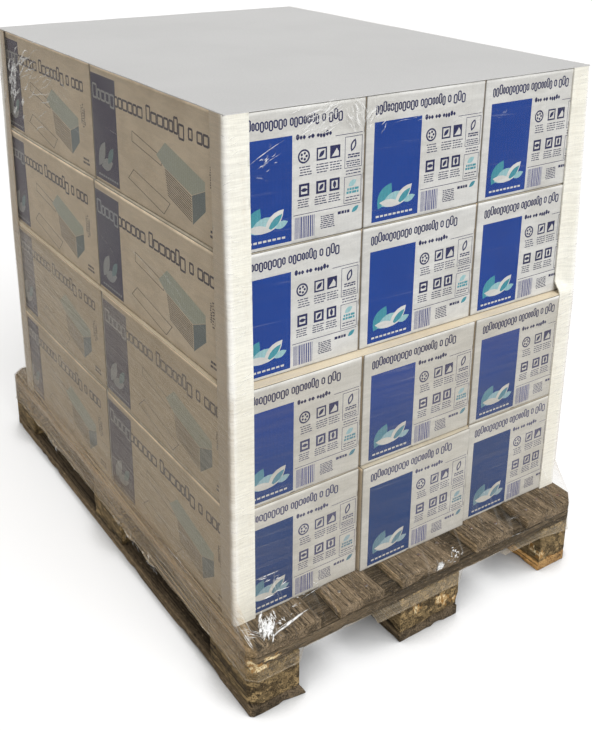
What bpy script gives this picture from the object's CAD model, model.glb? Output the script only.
import math
import random

import bmesh
import bpy
from mathutils import Matrix, Vector, noise
from mathutils.bvhtree import BVHTree
from mathutils.geometry import delaunay_2d_cdt


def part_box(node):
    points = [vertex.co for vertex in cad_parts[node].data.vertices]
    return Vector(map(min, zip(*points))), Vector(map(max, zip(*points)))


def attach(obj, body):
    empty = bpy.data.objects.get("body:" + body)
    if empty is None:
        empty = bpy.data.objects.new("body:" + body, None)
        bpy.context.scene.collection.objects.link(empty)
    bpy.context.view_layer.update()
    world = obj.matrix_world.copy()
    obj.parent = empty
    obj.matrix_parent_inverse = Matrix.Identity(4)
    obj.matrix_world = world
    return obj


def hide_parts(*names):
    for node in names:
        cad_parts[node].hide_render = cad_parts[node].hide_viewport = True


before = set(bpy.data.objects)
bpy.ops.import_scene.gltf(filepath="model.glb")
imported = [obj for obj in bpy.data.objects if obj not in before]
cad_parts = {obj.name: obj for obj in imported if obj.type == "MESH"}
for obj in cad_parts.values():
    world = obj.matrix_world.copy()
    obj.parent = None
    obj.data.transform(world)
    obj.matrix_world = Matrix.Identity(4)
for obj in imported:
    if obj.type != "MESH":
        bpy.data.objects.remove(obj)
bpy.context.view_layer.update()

# A pallet load held by stretch film. Metres, +Z up. X runs across the pallet and Y along it,
# and the near end, with the cartons' ends, is at -Y.

MM = 0.001
ROWS = ("near", "far")
COLUMNS = ("left", "middle", "right")
LAYERS = (1, 2, 3, 4)

# Camera
CAMERA_PLACE = (-1.0816, -1.7384, 1.3634)
CAMERA_HEADING = math.radians(34.394)
CAMERA_PITCH = math.radians(-19.448)
CAMERA_ROLL = math.radians(-0.63)
FOCAL_LENGTH = 48.86
CAMERA_SHIFT = (-0.0108, -0.188)


def lerp(a, b, t):
    return a + (b - a) * t


def smooth(value, low, high):
    """0 below low, 1 above high, and an even rise between them."""
    t = min(max((value - low) / (high - low), 0.0), 1.0)
    return t * t * (3 - 2 * t)


def fall(value, low, high):
    """1 below low, 0 above high, and an even fall between them."""
    return 1 - smooth(value, low, high)


def bell(distance, reach):
    """1 in the middle, and a smooth fall over the reach."""
    return math.exp(-((distance / reach) ** 2))


def spread(low, high, count):
    """Evenly spaced values, both ends included."""
    return [lerp(low, high, i / (count - 1)) for i in range(count)]


def wander(x, y=0.0, z=0.0):
    """Smooth noise from -1 to 1."""
    return noise.noise(Vector((x, y, z)))


def times(factor, colour):
    return tuple(factor * part for part in colour)


def set_camera():
    across, ahead = math.sin(CAMERA_HEADING), math.cos(CAMERA_HEADING)
    level_part = math.cos(CAMERA_PITCH)
    forward = Vector((across * level_part, ahead * level_part, math.sin(CAMERA_PITCH)))
    level = Vector((ahead, -across, 0.0))
    raised = level.cross(forward)
    right = level * math.cos(CAMERA_ROLL) - raised * math.sin(CAMERA_ROLL)
    up = raised * math.cos(CAMERA_ROLL) + level * math.sin(CAMERA_ROLL)
    data = bpy.data.cameras.new("camera")
    data.lens = FOCAL_LENGTH
    data.sensor_width = 36.0
    data.shift_x, data.shift_y = CAMERA_SHIFT
    camera = bpy.data.objects.new("camera", data)
    axes = Matrix((right, up, -forward)).transposed().to_4x4()
    camera.matrix_world = Matrix.Translation(CAMERA_PLACE) @ axes
    bpy.context.scene.collection.objects.link(camera)
    bpy.context.scene.camera = camera


# Materials

FLUTE_PITCH = 7.2 * MM

# What the lower layers' turns of film leave of the liner's colour, and the sun's gain on wood
UNDER_TURNS = (0.87, 0.85, 0.81)
SUN_BLEACH = (2.9, 2.85, 2.6)


class Value:
    """A node's output. Its sums and products are nodes too."""

    def __init__(self, tree, socket):
        self.tree, self.socket = tree, socket

    def __add__(self, other):
        return self.tree.math("ADD", self, other)

    def __sub__(self, other):
        return self.tree.math("SUBTRACT", self, other)

    def __mul__(self, other):
        return self.tree.math("MULTIPLY", self, other)


class Tree:
    """A node tree, with short calls that add nodes and join them."""

    def __init__(self, tree):
        self.nodes, self.links = tree.nodes, tree.links

    def feed(self, node, inputs):
        """Gives sockets their constants, or links them to other sockets."""
        for key, value in inputs.items():
            if isinstance(value, Value):
                self.links.new(value.socket, node.inputs[key])
            else:
                node.inputs[key].default_value = value

    def add(self, kind, inputs, output=0, **settings):
        node = self.nodes.new("ShaderNode" + kind)
        for key, value in settings.items():
            setattr(node, key, value)
        self.feed(node, inputs)
        return Value(self, node.outputs[output])

    def math(self, operation, a, b=0.0, clamp=False):
        return self.add("Math", {0: a, 1: b}, operation=operation, use_clamp=clamp)

    def background_rays(self):
        """1 for the rays that see the background: from the camera, mirrored, and through glass."""
        path = self.nodes.new("ShaderNodeLightPath")
        seen = Value(self, path.outputs["Is Camera Ray"])
        for name in ("Is Glossy Ray", "Is Transmission Ray"):
            seen = self.math("MAXIMUM", seen, Value(self, path.outputs[name]))
        return seen


class Finish(Tree):
    """A procedural material. Its noise and cells have so many to the metre, along each axis."""

    def __init__(self, name, specular):
        self.material = bpy.data.materials.new(name)
        self.material.use_nodes = True
        super().__init__(self.material.node_tree)
        self.shader = self.nodes["Principled BSDF"]
        self.feed(self.shader, {"Specular IOR Level": specular})

    def attribute(self, name, output="Fac"):
        return self.add("Attribute", {}, output, attribute_name=name)

    def position(self):
        return self.add("TexCoord", {}, "Object")

    def part(self, vector, axis):
        return self.add("SeparateXYZ", {"Vector": vector}, axis)

    def product(self, vector, factors):
        return self.add("VectorMath", {0: vector, 1: factors}, operation="MULTIPLY")

    def shaded(self, colour, shade):
        return self.add("VectorMath", {0: colour, "Scale": shade}, operation="SCALE")

    def noise(self, vector, count, detail=4.0, roughness=0.55, distortion=0.0):
        place = self.product(vector, count if isinstance(count, tuple) else (count,) * 3)
        inputs = {"Vector": place, "Scale": 1.0, "Detail": detail, "Roughness": roughness}
        return self.add("TexNoise", inputs | {"Distortion": distortion})

    def cells(self, vector, count, output="Distance"):
        return self.add("TexVoronoi", {"Vector": self.product(vector, count), "Scale": 1.0}, output)

    def rise(self, value, low, high, start=0.0, end=1.0):
        """start where the value is under low, end where it is over high."""
        inputs = {"Value": value, "From Min": low, "From Max": high, "To Min": start, "To Max": end}
        return self.add("MapRange", inputs, interpolation_type="SMOOTHSTEP")

    def mix(self, factor, a, b):
        """Colour a where the factor is 0 and b where it is 1."""
        inputs = {0: factor}
        for socket, colour in ((6, a), (7, b)):
            inputs[socket] = (*colour, 1.0) if isinstance(colour, tuple) else colour
        return self.add("Mix", inputs, 2, data_type="RGBA")

    def flutes(self):
        """Waves across a carton's panel, as its board's flutes make them."""
        across = self.part(self.attribute("panel", "Vector"), "X")
        return self.math("SINE", across * (2 * math.pi / FLUTE_PITCH))

    def under_turns(self, colour, factors, low, high):
        """The colour, and from a height downwards the colour under more turns of film."""
        height = self.part(self.position(), "Z")
        under = self.product(colour, factors)
        return self.mix(self.rise(height, low, high, 1.0, 0.0), colour, under)

    def finished(self, colour, relief, rough):
        """The material, given its colour, its relief (height, strength and distance) and its
        roughness (a value, and the roughness where that is 0 and where it is 1)."""
        bump = self.add("Bump", dict(zip(("Height", "Strength", "Distance"), relief)))
        value, low, high = rough
        rough = self.rise(value, 0.0, 1.0, low, high)
        self.feed(self.shader, {"Base Color": colour, "Normal": bump, "Roughness": rough})
        return self.material


def liner_finish(name, pale, dull, rim_light=0.30):
    """Coated liner of a corrugated carton: flutes show faintly, and its creases are rubbed."""
    finish = Finish(name, 0.2)
    place = finish.position()
    flute = finish.flutes()
    mottle = finish.rise(finish.noise(place, 9, 6.0), 0.35, 0.7)
    fibre = finish.noise(place, 700, 2.0)
    smears = finish.noise(place, (14, 16, 62), 5.0, 0.68, 0.6)
    shade = finish.rise(fibre, 0.25, 0.75, 0.93, 1.03) * finish.rise(flute, -1.0, 1.0, 0.985, 1.0)
    shade = shade * finish.rise(smears, 0.36, 0.66, 0.925, 1.055)
    lit = finish.rise(mottle, 0.0, 1.0, rim_light, 0.53 * rim_light)
    shade = shade * (finish.attribute("rim") * lit + 1.0)
    colour = finish.under_turns(finish.mix(mottle, pale, dull), UNDER_TURNS, 0.575, 0.595)
    colour = finish.shaded(colour, shade)
    wear = finish.attribute("wear")
    rubbed = finish.noise(place, 55, 5.0)
    worn = wear * finish.rise(rubbed, 0.45, 0.62) * 0.4
    dust = finish.rise(wear, 0.52, 0.90, 0.0, 0.88)
    colour = finish.mix(worn, colour, times(0.7, dull))
    colour = finish.mix(dust, colour, times(0.22, dull))
    relief = flute * 0.12 + fibre * 0.3
    return finish.finished(colour, (relief, 0.2, 0.5 * MM), (rubbed, 0.50, 0.74))


def ink_finish(name, solid, faded, under=(1.0, 1.0, 1.0)):
    """Ink on the liner: mottled, a little scuffed, and duller under the lower layers' film."""
    finish = Finish(name, 0.18)
    place = finish.position()
    flute = finish.flutes()
    mottle = finish.rise(finish.noise(place, 7, 7.0), 0.3, 0.72)
    grain = finish.noise(place, 900, 1.0)
    colour = finish.under_turns(finish.mix(mottle, solid, faded), under, 0.30, 0.62)
    shade = finish.rise(flute, -1, 1, 0.95, 1.03) * finish.rise(grain, 0.3, 0.7, 0.9, 1.08)
    relief = flute * 0.12 + grain * 0.2
    colour = finish.shaded(colour, shade)
    return finish.finished(colour, (relief, 0.15, 0.5 * MM), (mottle, 0.40, 0.58))


def paper_finish(name, pale, dull):
    """Uncoated paper or board with soft stains and fibres."""
    finish = Finish(name, 0.25)
    place = finish.position()
    stain = finish.rise(finish.noise(place, 5, 6.0), 0.32, 0.7)
    fibre = finish.noise(place, (260, 900, 900), 3.0)
    shade = finish.rise(fibre, 0.25, 0.75, 0.92, 1.05)
    colour = finish.shaded(finish.mix(stain, pale, dull), shade)
    return finish.finished(colour, (fibre + stain, 0.2, 0.6 * MM), (fibre, 0.55, 0.80))


def wood_finish(name, pale, middle, dark, flaky=0.0):
    """Weathered softwood. Its grain runs along the first part of the piece's grain attribute."""
    finish = Finish(name, 0.2)
    grain = finish.attribute("grain", "Vector")
    broad = finish.noise(grain, (0.9, 42, 42), 5.0, 0.62, 0.05)
    fine = finish.noise(grain, (4, 380, 380), 4.0, 0.66)
    patch = finish.noise(grain, (6, 13, 13), 6.0, 0.62)
    speck = finish.noise(grain, (90, 290, 290), 3.0, 0.75)
    seam = finish.noise(grain, (1.2, 60, 60), 3.0, 0.5, 0.05)
    crack = finish.rise(finish.math("ABSOLUTE", seam - 0.42), 0.0, 0.012, 0.9, 0.0)
    knots = finish.cells(grain, (3.4, 11, 11))
    black = times(0.25, dark)
    colour = finish.mix(finish.rise(broad, 0.40, 0.60), middle, pale)
    colour = finish.mix(finish.rise(patch, 0.50, 0.68, 0.0, 0.6), colour, dark)
    if flaky:
        flakes = finish.cells(grain, (60, 120, 150), "Color")
        tone = finish.add("SeparateColor", {"Color": flakes}, "Red")
        chip = finish.rise(tone + speck * 0.6, 0.98, 1.08, 0.0, flaky)
        chip = chip * finish.rise(patch, 0.34, 0.58, 0.25, 1.0)
        colour = finish.mix(chip, colour, times(2.1, pale))
    for share, tone in (
        (finish.rise(fine, 0.50, 0.61, 0.0, 0.85), dark),
        (finish.rise(fine, 0.34, 0.44, 0.45, 0.0), times(1.35, pale)),
        (finish.rise(speck, 0.55, 0.66, 0.0, 0.85), black),
        (finish.rise(speck, 0.33, 0.42, 0.75, 0.0), times(1.9, pale)),
        (crack, black),
        (finish.rise(knots, 0.07, 0.13, 0.8, 0.0), black),
    ):
        colour = finish.mix(share, colour, tone)
    bleached = finish.product(colour, SUN_BLEACH)
    colour = finish.mix(finish.attribute("bleached"), colour, bleached)
    # Fresh breaks, with splinters
    fresh = finish.attribute("fresh")
    torn = finish.noise(grain, (50, 330, 55) if flaky else (50, 190, 190), 4.0, 0.7)
    splinter = finish.mix(finish.rise(torn, 0.46, 0.55), (1.0, 0.84, 0.52), (0.36, 0.19, 0.055))
    broken = finish.rise(fresh * 0.8 + torn * 2.4, 1.52, 1.62) * finish.rise(fresh, 0.0, 0.15)
    colour = finish.mix(broken, colour, splinter)
    relief = fine * 0.9 + broad - speck * 0.7 - crack
    return finish.finished(colour, (relief, 0.9, 2.2 * MM), (broad, 0.95, 0.68))


def nail_finish():
    """Steel nail heads, rusted."""
    finish = Finish("nail_steel", 0.5)
    rust = finish.rise(finish.noise(finish.position(), 300, 4.0), 0.4, 0.6)
    finish.feed(finish.shader, {"Metallic": finish.rise(rust, 0.2, 0.8, 0.9, 0.1)})
    colour = finish.mix(rust, (0.25, 0.24, 0.22), (0.13, 0.055, 0.025))
    return finish.finished(colour, (rust, 0.3, 0.3 * MM), (rust, 0.38, 0.85))


def board_finish():
    """Laminated board under tight film: cream, dimmer on its long-side leg, finely wrinkled."""
    finish = Finish("corner_board_paper", 0.3)
    place = finish.position()
    stain = finish.rise(finish.noise(place, (9, 9, 5), 6.0), 0.32, 0.7)
    fibre = finish.noise(place, (700, 700, 90), 3.0)
    wrinkle = finish.noise(place, (22, 22, 330), 4.0, 0.6, 0.5)
    drawn = finish.rise(finish.noise(place, (3, 3, 40), 4.0), 0.3, 0.7, 0.55, 1.0)
    colour = finish.mix(stain, (0.93, 0.915, 0.83), (0.90, 0.875, 0.77))
    dim = finish.mix(stain, (0.50, 0.415, 0.305), (0.445, 0.36, 0.26))
    colour = finish.mix(finish.attribute("long_leg"), colour, dim)
    colour = finish.mix(finish.attribute("worn"), colour, (0.60, 0.50, 0.36))
    colour = finish.mix(finish.attribute("bend") * drawn, colour, (1.0, 0.99, 0.95))
    shade = finish.rise(fibre, 0.25, 0.75, 0.95, 1.03)
    colour = finish.shaded(colour, shade * finish.rise(wrinkle, 0.35, 0.65, 0.90, 1.03))
    relief = wrinkle + fibre * 0.2
    return finish.finished(colour, (relief, 0.35, 1.0 * MM), (wrinkle, 0.30, 0.55))


def film_finish(name):
    """Clear stretch film: hazy and streaked in its several turns, white where it is creased."""
    finish = Finish(name, 0.5)
    wrap = finish.attribute("wrap", "Vector")
    names = ("haze", "crumple", "slope", "over_wood")
    haze, crumple, slope, over_wood = (finish.attribute(name) for name in names)
    drawn = finish.noise(wrap, (4, 170, 1), 4.0, 0.6, 0.5)
    radial = finish.noise(wrap, (75, 7, 1), 4.0, 0.62, 0.8)
    shard = finish.noise(wrap, (60, 85, 1), 5.0, 0.7, 1.4)
    cloud = finish.rise(finish.noise(wrap, (3, 5, 1), 5.0), 0.3, 0.7, 0.8, 1.25)
    weak = finish.rise(drawn, 0.36, 0.64, 0.72, 1.28)
    strong = finish.rise(drawn, 0.36, 0.64, 0.58, 1.42)
    veil = haze * (cloud * finish.mix(over_wood, weak, strong))
    lines = finish.rise(drawn, 0.62, 0.72) * finish.rise(slope, 0.0, 1.0, 0.07, 0.03)
    crease = finish.rise(radial, 0.56, 0.66) * slope
    knots = finish.math("MAXIMUM", crease, finish.rise(shard, 0.60, 0.68)) * crumple
    bright = finish.math("ADD", lines + crease * 0.035, knots, clamp=True)
    edge_on = finish.add("Fresnel", {"IOR": 1.45}) * 0.055
    alpha = finish.math("ADD", veil, bright, clamp=True)
    alpha = finish.math("ADD", alpha, edge_on, clamp=True)
    finish.feed(finish.shader, {"Alpha": alpha})
    tone = finish.math("DIVIDE", bright, alpha + 0.001, clamp=True)
    tint = finish.mix(over_wood, (0.58, 0.475, 0.33), (0.52, 0.36, 0.175))
    colour = finish.mix(tone, tint, (0.97, 0.97, 0.95))
    relief = drawn + radial * slope + shard * crumple
    return finish.finished(colour, (relief, 0.35, 1.0 * MM), (drawn, 0.12, 0.34))


def crease_finish():
    """Film drawn together into a sharp crease, nearly white along its ridge."""
    finish = Finish("film_crease", 0.6)
    ridge = finish.attribute("ridge")
    broken = finish.rise(finish.noise(finish.position(), 160, 3.0), 0.40, 0.56, 0.35, 1.0)
    finish.feed(finish.shader, {"Alpha": finish.math("MULTIPLY", ridge, broken, clamp=True)})
    colour = finish.mix(finish.rise(ridge, 0.25, 0.8), (0.56, 0.55, 0.52), (1.0, 1.0, 0.99))
    return finish.finished(colour, (broken, 0.3, 0.4 * MM), (broken, 0.18, 0.36))


# Meshes


def make_piece(name, work, materials, slot, *nodes, rounded=True):
    """Makes a mesh a piece of the load that stands for some nodes of the frame."""
    for face in work.faces:
        face.smooth = rounded
    mesh = bpy.data.meshes.new(name)
    work.to_mesh(mesh)
    work.free()
    piece = bpy.data.objects.new(name, mesh)
    for material in materials:
        mesh.materials.append(material)
    bpy.context.scene.collection.objects.link(piece)
    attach(piece, "root")
    if nodes:
        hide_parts(*nodes)
    return piece


def float_layers(work, *names):
    return [work.verts.layers.float.new(name) for name in names]


def bridge(work, rows, ring=True):
    """Faces between each row of vertices and the next. A ring's ends meet."""
    for here, there in zip(rows, rows[1:]):
        for k in range(len(here) if ring else len(here) - 1):
            n = (k + 1) % len(here)
            work.faces.new((here[k], here[n], there[n], there[k]))


def welded_node(name):
    """A node's solid, its triangles joined at their corners."""
    work = bmesh.new()
    work.from_mesh(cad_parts[name].data)
    bmesh.ops.remove_doubles(work, verts=work.verts, dist=0.01 * MM)
    return work


def cut_up(work, box, steps):
    """Cuts a mesh square to each axis in turn, at even steps."""
    low, high = box
    for axis, step in steps:
        normal = Vector([float(axis == k) for k in range(3)])
        count = max(int((high[axis] - low[axis]) / step), 2) + 1
        for place in spread(low[axis], high[axis], count)[1:-1]:
            parts = work.verts[:] + work.edges[:] + work.faces[:]
            cut = {"plane_co": normal * place, "plane_no": normal, "dist": 1e-6}
            bmesh.ops.bisect_plane(work, geom=parts, **cut)
    bmesh.ops.triangulate(work, faces=[face for face in work.faces if len(face.verts) > 4])
    work.normal_update()


# Cartons

END_SIZE = (260.0, 223.5)
SIDE_SIZE = (510.0, 223.5)
CREASE = 3.6 * MM
RIM = 7.5 * MM
GRID_STEP = 13 * MM
SIDES = {"near": (1, -1), "far": (1, 1), "left": (0, -1), "right": (0, 1)}

# How far the long sides of each layer stand back from the layer under it
LAYER_INSET = {1: 0.0, 2: 2.0 * MM, 3: 0.0, 4: 4.0 * MM}

# Each ink solid, faded, and what is left of it under the lower layers' film where that differs
INKS = {
    "blue": ((0.004, 0.040, 0.235), (0.010, 0.052, 0.27), (1.3, 0.95, 0.62)),
    "navy": ((0.010, 0.013, 0.062), (0.022, 0.027, 0.095), (5.0, 4.2, 2.0)),
    "teal": ((0.04, 0.235, 0.30), (0.07, 0.30, 0.36), (2.2, 0.82, 0.84)),
    "pale_teal": ((0.25, 0.46, 0.50), (0.33, 0.53, 0.55), (0.95, 0.76, 0.80)),
    "stripe": ((0.07, 0.08, 0.21), (0.11, 0.12, 0.26)),
    "band": ((0.028, 0.025, 0.052), (0.052, 0.045, 0.078)),
    "band_pale": ((0.22, 0.23, 0.24), (0.30, 0.30, 0.28)),
    "band_teal": ((0.10, 0.17, 0.18), (0.15, 0.21, 0.21)),
    "side_navy": ((0.03, 0.026, 0.036), (0.06, 0.05, 0.06)),
    "thin_line": ((0.09, 0.075, 0.065), (0.15, 0.13, 0.10)),
    "stack_top": ((0.31, 0.325, 0.265), (0.37, 0.38, 0.305)),
    "stack_end": ((0.11, 0.14, 0.145), (0.17, 0.19, 0.18)),
}
LINERS = {
    "liner": ("carton_liner", (0.675, 0.672, 0.653), (0.610, 0.602, 0.573)),
    "side_liner": ("carton_side_liner", (0.615, 0.515, 0.385), (0.545, 0.45, 0.33), 1.15),
    "flap_liner": ("carton_flap_liner", (0.80, 0.74, 0.61), (0.72, 0.65, 0.52)),
}
SURFACES = (*LINERS, *INKS)


def anticlockwise(points):
    turns = sum(a[0] * b[1] - b[0] * a[1] for a, b in zip(points, points[1:] + points[:1]))
    return points if turns > 0 else points[::-1]


class Art:
    """Printing on a carton's panel: flat shapes in millimetres from its lower left corner, the
    last on top. A shape of liner is bare board."""

    def __init__(self, size, seed):
        self.width, self.height = size
        self.shapes = []
        self.random = random.Random(seed)

    def shape(self, ink, points):
        self.shapes.append((ink, anticlockwise(points)))

    def bar(self, ink, left, bottom, right, top):
        self.shape(ink, [(left, bottom), (right, bottom), (right, top), (left, top)])

    def frame(self, ink, left, bottom, right, top, line):
        self.bar(ink, left, bottom, right, top)
        self.bar("liner", left + line, bottom + line, right - line, top - line)

    def block(self, ink, left, bottom, right, top, cut):
        """A bar with its corners cut."""
        self.shape(ink, [
            (left + cut, bottom), (right - cut, bottom), (right, bottom + cut),
            (right, top - cut), (right - cut, top), (left + cut, top),
            (left, top - cut), (left, bottom + cut),
        ])

    def outline(self, ink, points, line):
        """A bare shape with a line of one width round it."""
        points = [Vector(point) for point in anticlockwise(points)]
        inner = []
        for before, point, after in zip(points[-1:] + points, points, points[1:] + points[:1]):
            first, second = (point - before).normalized(), (after - point).normalized()
            middle = (first + second).normalized()
            reach = line / max(abs(middle.dot(first)), 0.3)
            inner.append(tuple(point + Vector((-middle.y, middle.x)) * reach))
        self.shape(ink, [tuple(point) for point in points])
        self.shape("liner", inner)

    def disc(self, ink, x, y, radius, sides=18):
        turns = [2 * math.pi * i / sides for i in range(sides)]
        self.shape(ink, [(x + radius * math.cos(t), y + radius * math.sin(t)) for t in turns])

    def leaf(self, ink, x, y, length, width, tilt, steps=6):
        """A pointed leaf, its middle at x, y."""
        outline = [(lerp(-1, 1, i / steps), 1) for i in range(steps)]
        outline += [(lerp(1, -1, i / steps), -1) for i in range(steps)]
        cosine, sine = math.cos(tilt), math.sin(tilt)
        points = []
        for along, side in outline:
            a, b = along * length / 2, side * width / 2 * (1 - along * along)
            points.append((x + a * cosine - b * sine, y + a * sine + b * cosine))
        self.shape(ink, points)

    def small_print(self, ink, left, bottom, right, top, rows, thickness=1.7):
        """Rows of dashes in place of fine print."""
        pitch = (top - bottom) / rows
        for row in range(rows):
            y = top - pitch * (row + 0.5)
            x = left + self.random.uniform(0, 2)
            while x < right - 3:
                dash = min(self.random.uniform(3, 9), right - x)
                self.bar(ink, x, y - thickness / 2, x + dash, y + thickness / 2)
                x += dash + 1.2

    def heading(self, ink, fill, left, bottom, height, groups, width, line):
        """Blank outlined blocks in groups, in place of a heading."""
        x = left
        for count in groups:
            for _ in range(count):
                wide = width * self.random.uniform(0.72, 1.12)
                low = bottom - height * self.random.choice((0, 0, 0, 0, 0.2))
                high = bottom + height * self.random.choice((0.72, 0.72, 0.72, 0.72, 1.0))
                self.block(ink, x, low, x + wide, high, 2.4)
                self.block(fill, x + line, low + line, x + wide - line, high - line, 0.4)
                x += wide + 0.6
            x += width * 0.55


def end_art():
    """The cartons' end: a blue field on the left, and symbols, small print and bars beside it."""
    art = Art(END_SIZE, 3)
    art.heading("navy", "liner", 19, 193, 18, (11, 7, 1, 3), 8.3, 2.6)
    art.bar("blue", 18, 7, 118, 178)
    for leaf in (
        ("teal", 44, 50, 50, 26, 1.0),
        ("pale_teal", 62, 42, 52, 24, 0.35),
        ("liner", 84, 46, 50, 22, 0.75),
        ("teal", 86, 44, 36, 12, 0.72),
        ("liner", 56, 36, 46, 14, -0.15),
        ("pale_teal", 98, 38, 26, 12, 0.3),
    ):
        art.leaf(*leaf)
    for left in range(27, 100, 9):
        art.bar("liner", left, 14, left + 6.5, 17.5)
    art.heading("navy", "navy", 125, 169, 9.5, (3, 2, 5), 6.2, 1.2)
    art.bar("navy", 200, 166, 254, 167)
    # Upper row of symbols
    art.disc("navy", 140, 142, 11.5)
    art.disc("liner", 140, 142, 8.6)
    for turn in range(5):
        angle = 2 * math.pi * turn / 5
        art.disc("navy", 140 + 5.0 * math.cos(angle), 142 + 5.0 * math.sin(angle), 2.3, 8)
    art.frame("navy", 164, 131, 184, 152, 2.8)
    art.leaf("navy", 174, 141.5, 15, 7, 0.8)
    art.bar("navy", 190, 131, 210, 152)
    art.shape("liner", [(193, 134), (207, 134), (207, 141), (203, 147), (198, 140)])
    # Lower row of symbols
    for left, tilt in ((131, 0.0), (164, 0.9), (190, 1.57)):
        art.frame("navy", left, 77, left + 20, 98, 4.0)
        art.leaf("navy", left + 10, 87.5, 13, 6.5, tilt)
    for low, top, lefts in ((110, 127, (131, 163, 189)), (58, 74, (128, 161, 188))):
        for left in lefts:
            art.small_print("navy", left, low, left + 24, top, 4)
    # Two tall frames
    for low, top in ((110, 162), (51, 96)):
        art.frame("navy", 219, low, 254, top, 1.0)
    art.leaf("navy", 236, 147, 22, 11, 1.2)
    art.leaf("liner", 236, 147, 14, 5, 1.2)
    art.small_print("navy", 224, 126, 249, 134, 2, 2.4)
    art.small_print("navy", 220, 98, 252, 108, 2)
    art.small_print("navy", 222, 112, 251, 123, 3)
    art.leaf("pale_teal", 236, 84, 18, 10, 0.5)
    art.small_print("teal", 224, 66, 249, 77, 2, 4.0)
    art.small_print("navy", 222, 54, 251, 63, 2)
    art.bar("navy", 121, 47.4, 254, 48.5)
    # Upright bars, small print and a small mark at the foot
    x = 124.0
    while x < 163:
        thick = art.random.choice((1.1, 1.8, 2.8))
        art.bar("stripe", x, 8, x + thick, 44)
        x += thick + art.random.choice((1.0, 1.6))
    art.small_print("navy", 173, 16, 202, 39, 7)
    art.small_print("navy", 206, 33, 233, 42, 1, 5.0)
    art.leaf("teal", 243, 39, 17, 8, 0.6)
    return art


def side_art():
    """The long side: a dark band on the left, a heading, and line drawings of folded sheets."""
    art = Art(SIDE_SIZE, 5)
    band_right = 112
    art.bar("band", 3, 7, band_right, 207)
    art.leaf("band_pale", 38, 58, 62, 26, 1.0)
    art.leaf("band_pale", 60, 42, 56, 24, 0.3)
    art.leaf("band_teal", 78, 62, 44, 18, 0.9)
    for left in range(18, 100, 10):
        art.bar("band_pale", left, 14, left + 7, 18)
    start = len(art.shapes)
    art.heading("side_navy", "liner", 9, 160, 29, (11, 7, 1, 3), 21.3, 4.0)
    # Inside the band, the heading's outline is pale on the dark ground
    for index in range(start, len(art.shapes)):
        ink, points = art.shapes[index]
        if max(x for x, _ in points) < band_right:
            art.shapes[index] = ("band_pale" if ink == "side_navy" else "band", points)
    # Two folded sheets in outline
    art.outline("thin_line", ((152, 40), (178, 62), (318, 36), (292, 10)), 1.6)
    art.outline("thin_line", ((176, 112), (178, 132), (296, 110), (290, 94)), 1.6)
    # A stack of folded sheets
    top = ((272, 110), (306, 138), (440, 104), (440, 90), (396, 72), (300, 95))
    art.shape("stack_top", top)
    art.shape("stack_end", ((396, 71), (440, 89), (440, 56), (396, 22)))
    sheets, thick = 11, 2.1
    for i in range(sheets):
        x, left, right = 302 + i * 0.8, lerp(93, 46, i / sheets), lerp(69, 23, i / sheets)
        corners = ((x, left), (x, left - thick), (394, right - thick), (394, right))
        art.shape("thin_line", corners)
    for x, low, top in ((455, 98, 134), (462, 90, 138), (469, 96, 130)):
        art.small_print("side_navy", x, low, x + 7, top, 9, 2.4)
    art.small_print("side_navy", 452, 16, 484, 32, 2, 4.5)
    return art


def grid_lines(length):
    """Places of a panel's grid lines, close together at its creases."""
    inner = spread(RIM, length - RIM, max(int(length / GRID_STEP), 2))
    return [0.0, CREASE * 0.45, CREASE, *inner, length - CREASE, length - CREASE * 0.45, length]


def printed_panel(art, width, height):
    """A panel cut along its printing: points in metres, triangles, and each triangle's ink."""
    scale_x, scale_y = width / MM / art.width, height / MM / art.height
    across = [x / MM for x in grid_lines(width)]
    upright = [y / MM for y in grid_lines(height)]
    points = [Vector((x, y)) for y in upright for x in across]
    shapes = []
    for _, outline in art.shapes:
        shapes.append(list(range(len(points), len(points) + len(outline))))
        points.extend(Vector((x * scale_x, y * scale_y)) for x, y in outline)
    points, _, triangles, _, _, sources = delaunay_2d_cdt(points, [], shapes, 0, 0.004)
    inks = [art.shapes[max(found)][0] if found else "liner" for found in sources]
    return [point * MM for point in points], triangles, inks


def plain_panel(width, height):
    """A panel with no printing, as a grid."""
    across, upright = grid_lines(width), grid_lines(height)
    row = len(across)
    starts = [j * row + i for j in range(len(upright) - 1) for i in range(row - 1)]
    squares = [(k, k + 1, k + row + 1, k + row) for k in starts]
    return [Vector((x, y)) for y in upright for x in across], squares, ["liner"] * len(squares)


panels = {}


def panel_of(art, width, height):
    """The cut-up panel, made once for each print and size."""
    key = (art and art.width, round(width, 5), round(height, 5))
    if key not in panels:
        panels[key] = printed_panel(art, width, height) if art else plain_panel(width, height)
    return panels[key]


def panel_frames(half):
    """Each panel's lower left corner, its two directions and its size, as seen from outside."""
    x, y, z = half
    return {
        "near": ((-x, -y, -z), (1, 0, 0), (0, 0, 1), 2 * x, 2 * z),
        "far": ((x, y, -z), (-1, 0, 0), (0, 0, 1), 2 * x, 2 * z),
        "left": ((-x, y, -z), (0, -1, 0), (0, 0, 1), 2 * y, 2 * z),
        "right": ((x, -y, -z), (0, 1, 0), (0, 0, 1), 2 * y, 2 * z),
        "top": ((-x, -y, z), (1, 0, 0), (0, 1, 0), 2 * x, 2 * y),
        "bottom": ((-x, y, -z), (1, 0, 0), (0, -1, 0), 2 * x, 2 * y),
    }


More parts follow.
